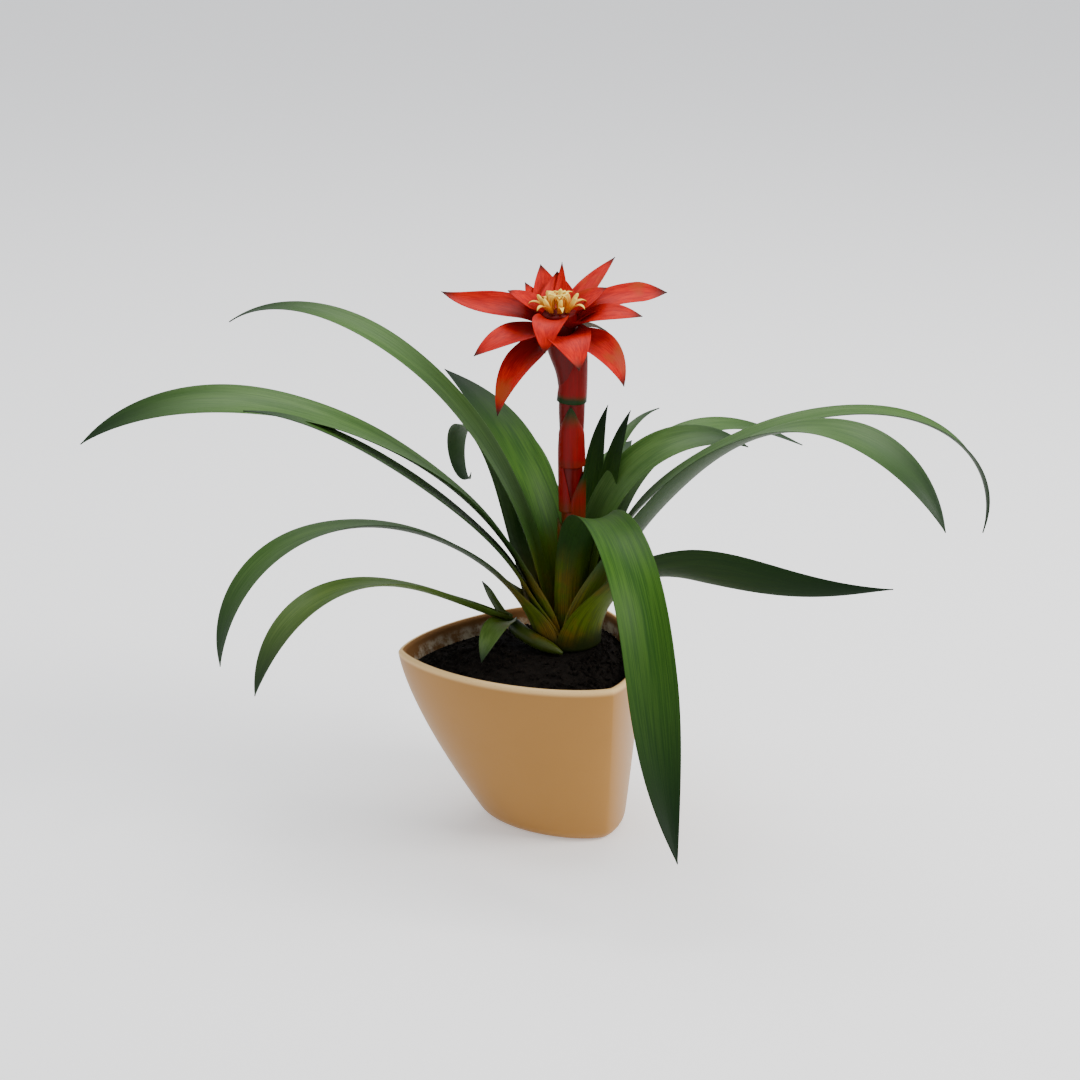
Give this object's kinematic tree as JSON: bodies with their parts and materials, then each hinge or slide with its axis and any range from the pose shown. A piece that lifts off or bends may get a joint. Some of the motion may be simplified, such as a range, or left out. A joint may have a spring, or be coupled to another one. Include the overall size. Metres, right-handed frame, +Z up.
{
  "type": "potted bromeliad",
  "caption": "Bromeliad with arching strap leaves and a red star-shaped flower head on a tall stalk, in a tan three-cornered ceramic pot filled with soil.",
  "frame": {"origin": "middle of the pot's flat underside", "axes": "+Z up; the pot's rim leans out towards -X and the flower faces -Y, and the leaves reach furthest along X"},
  "size_m": [0.6016, 0.3292, 0.3807],
  "materials": {
    "pot": "satin tan glaze, smooth, with a paler lip",
    "soil": "loose, dark, damp potting soil",
    "leaf": "waxy green with fine lengthwise veins, dark below, yellow at the foot",
    "shoot": "waxy light green with brown patches",
    "scape": "satin dark red with green tips",
    "bract": "waxy bright red with dark points",
    "floret": "matte yellow and cream"
  },
  "bodies": {
    "root": {"pot": "pot", "soil": "soil", "scape": "scape", "leaf_young_a": "leaf", "leaf_young_b": "leaf", "leaf_front": "leaf", "leaf_upright": "leaf", "leaf_broad": "leaf", "leaf_high": "leaf", "leaf_thin": "leaf", "leaf_pale": "leaf", "leaf_hooked": "leaf", "leaf_long_left": "leaf", "leaf_far_right": "leaf", "leaf_wide_right": "leaf", "leaf_under_left": "leaf", "leaf_back_left": "leaf", "leaf_back_right": "leaf", "leaf_low_left": "leaf", "leaf_twisted": "leaf", "shoot_stem": "shoot", "shoot_leaf_long": "shoot", "shoot_leaf_spike": "shoot", "shoot_leaf_curled": "shoot", "scape_bract_1": "scape", "scape_bract_2": "scape", "scape_bract_3": "scape", "scape_bract_4": "scape", "scape_bract_5": "scape", "bract_upper_middle": "bract", "bract_inner_left": "bract", "bract_inner_right": "bract", "bract_front_small": "bract", "bract_upper_left": "bract", "bract_left_small": "bract", "bract_upper_right": "bract", "bract_curled": "bract", "bract_right_long": "bract", "bract_left_long": "bract", "bract_right_low": "bract", "bract_left_low": "bract", "bract_front_broad": "bract", "bract_left_hanging": "bract", "bract_right_hanging": "bract", "bract_withered": "bract", "floret_middle": "floret", "floret_1": "floret", "floret_2": "floret", "floret_3": "floret", "floret_4": "floret", "floret_5": "floret", "floret_6": "floret", "floret_7": "floret"}
  },
  "joints": []
}
